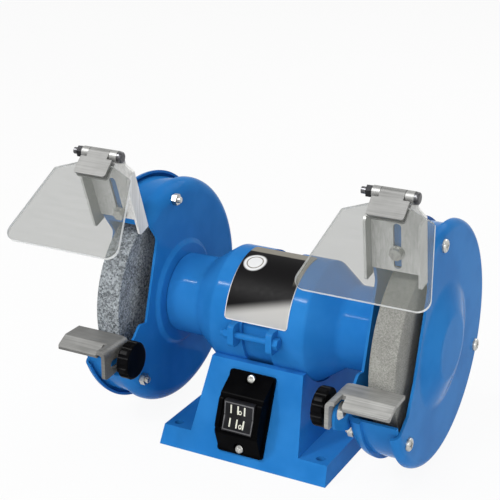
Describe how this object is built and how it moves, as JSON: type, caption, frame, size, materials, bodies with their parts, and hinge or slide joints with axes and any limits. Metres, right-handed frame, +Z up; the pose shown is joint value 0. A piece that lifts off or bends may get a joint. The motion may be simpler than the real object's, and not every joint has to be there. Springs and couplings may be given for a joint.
{
  "type": "bench grinder",
  "caption": "Bench grinder with a guarded wheel at each end of the motor, tool rests, hinged clear eye shields and a rocker switch on a cast base.",
  "frame": {"origin": "on the bench, at the middle of the base's four bolt holes", "axes": "+X along the spindle to the operator's right, -Y towards the operator, +Z up"},
  "size_m": [0.3148, 0.2332, 0.2354],
  "materials": {
    "blue_paint": "glossy blue paint",
    "zinc_steel": "zinc plated",
    "bracket_steel": "satin plated sheet",
    "rest_steel": "brushed sheet",
    "black_steel": "black oxide",
    "knob_black": "moulded, satin",
    "switch_black": "moulded, satin",
    "rocker_black": "moulded, glossy",
    "switch_block": "moulded",
    "clear_shield": "clear, polished",
    "coarse_wheel": "coarse grit",
    "fine_wheel": "fine grit",
    "turned_steel": "turned",
    "bearing_steel": "ground",
    "laminations": "stacked sheet",
    "winding": "varnished wire",
    "blotter": "plain card",
    "label": "printed film, blank",
    "capacitor_can": "drawn can",
    "rubber": "moulded"
  },
  "bodies": {
    "frame": {"base_pedestal": "blue_paint", "left_end_bell": "blue_paint", "right_end_bell": "blue_paint", "left_guard": "blue_paint", "right_guard": "blue_paint", "left_guard_cover": "blue_paint", "right_guard_cover": "blue_paint", "tie_bolts": "blue_paint", "tie_nuts": "blue_paint", "stator_core": "blue_paint", "cover_bolts": "zinc_steel", "cover_nuts": "zinc_steel", "guard_screws": "zinc_steel", "spark_guard_bolts": "zinc_steel", "spark_guard_washers": "zinc_steel", "spark_guard_nuts": "zinc_steel", "saddle_screws": "zinc_steel", "switch_screws": "zinc_steel", "base_cover_screws": "zinc_steel", "left_rest_bolt": "zinc_steel", "right_rest_bolt": "zinc_steel", "base_bottom_cover": "zinc_steel", "capacitor_strap": "zinc_steel", "wave_washer": "zinc_steel", "switch_housing": "switch_black", "switch_body": "switch_block", "terminal_block": "switch_block", "left_bearing_outer_ring": "bearing_steel", "right_bearing_outer_ring": "bearing_steel", "stator_windings": "winding", "motor_label": "label", "capacitor": "capacitor_can", "cable_grommet": "rubber"},
    "rotor": {"spindle": "turned_steel", "rotor_core": "laminations", "wheel_flanges": "turned_steel", "wheel_blotters": "blotter", "spindle_nuts": "turned_steel", "left_wheel": "coarse_wheel", "right_wheel": "fine_wheel", "left_bearing_inner_ring": "bearing_steel", "right_bearing_inner_ring": "bearing_steel"},
    "balls": {"bearing_balls": "bearing_steel"},
    "rocker": {"switch_rocker": "rocker_black"},
    "left_washer": {"left_rest_washer": "zinc_steel"},
    "left_rest": {"left_tool_rest": "rest_steel"},
    "left_knob": {"left_rest_knob": "knob_black"},
    "left_spark": {"left_spark_guard": "bracket_steel", "left_shield_bolt": "black_steel", "left_shield_nut": "black_steel"},
    "left_shield": {"left_eye_shield": "clear_shield", "left_shield_clamp": "bracket_steel"},
    "right_washer": {"right_rest_washer": "zinc_steel"},
    "right_rest": {"right_tool_rest": "rest_steel"},
    "right_knob": {"right_rest_knob": "knob_black"},
    "right_spark": {"right_spark_guard": "bracket_steel", "right_shield_bolt": "black_steel", "right_shield_nut": "black_steel"},
    "right_shield": {"right_eye_shield": "clear_shield", "right_shield_clamp": "bracket_steel"}
  },
  "joints": [
    {"name": "spindle_spin", "type": "hinge", "parent": "frame", "child": "rotor", "pos_m": [0, 0, 0.1], "axis": [1, 0, 0], "continuous": true},
    {"name": "ball_orbit", "type": "hinge", "parent": "frame", "child": "balls", "pos_m": [0, 0, 0.1], "axis": [1, 0, 0], "continuous": true},
    {"name": "rocker_press", "type": "hinge", "parent": "frame", "child": "rocker", "pos_m": [-0.001, -0.06758, 0.03899], "axis": [-1, 0, 0], "range_deg": [0, 15]},
    {"name": "left_rest_tilt", "type": "hinge", "parent": "frame", "child": "left_washer", "pos_m": [-0.0858, -0.09502, 0.08], "axis": [1, 0, 0], "range_deg": [-8, 20]},
    {"name": "left_rest_slide", "type": "slide", "parent": "left_washer", "child": "left_rest", "axis": [0, -1, 0], "range_m": [-0.0095, 0.0015]},
    {"name": "left_knob_turn", "type": "hinge", "parent": "frame", "child": "left_knob", "pos_m": [-0.0858, -0.09502, 0.08], "axis": [1, 0, 0], "range_deg": [0, 360]},
    {"name": "left_spark_slide", "type": "slide", "parent": "frame", "child": "left_spark", "axis": [0, 0.342, -0.9397], "range_m": [0, 0.013]},
    {"name": "left_shield_tilt", "type": "hinge", "parent": "left_spark", "child": "left_shield", "pos_m": [-0.1105, -0.07864, 0.23079], "axis": [-1, 0, 0], "range_deg": [-20, 95]},
    {"name": "right_rest_tilt", "type": "hinge", "parent": "frame", "child": "right_washer", "pos_m": [0.0858, -0.09502, 0.08], "axis": [1, 0, 0], "range_deg": [-8, 20]},
    {"name": "right_rest_slide", "type": "slide", "parent": "right_washer", "child": "right_rest", "axis": [0, -1, 0], "range_m": [-0.0015, 0.0095]},
    {"name": "right_knob_turn", "type": "hinge", "parent": "frame", "child": "right_knob", "pos_m": [0.0858, -0.09502, 0.08], "axis": [-1, 0, 0], "range_deg": [0, 360]},
    {"name": "right_spark_slide", "type": "slide", "parent": "frame", "child": "right_spark", "axis": [0, 0.1564, -0.9877], "range_m": [-0.009, 0.005]},
    {"name": "right_shield_tilt", "type": "hinge", "parent": "right_spark", "child": "right_shield", "pos_m": [0.1105, -0.06012, 0.22893], "axis": [-1, 0, 0], "range_deg": [-20, 95]}
  ],
  "couplings": [
    {"joint": "ball_orbit", "follows": "spindle_spin", "ratio": 0.392}
  ]
}
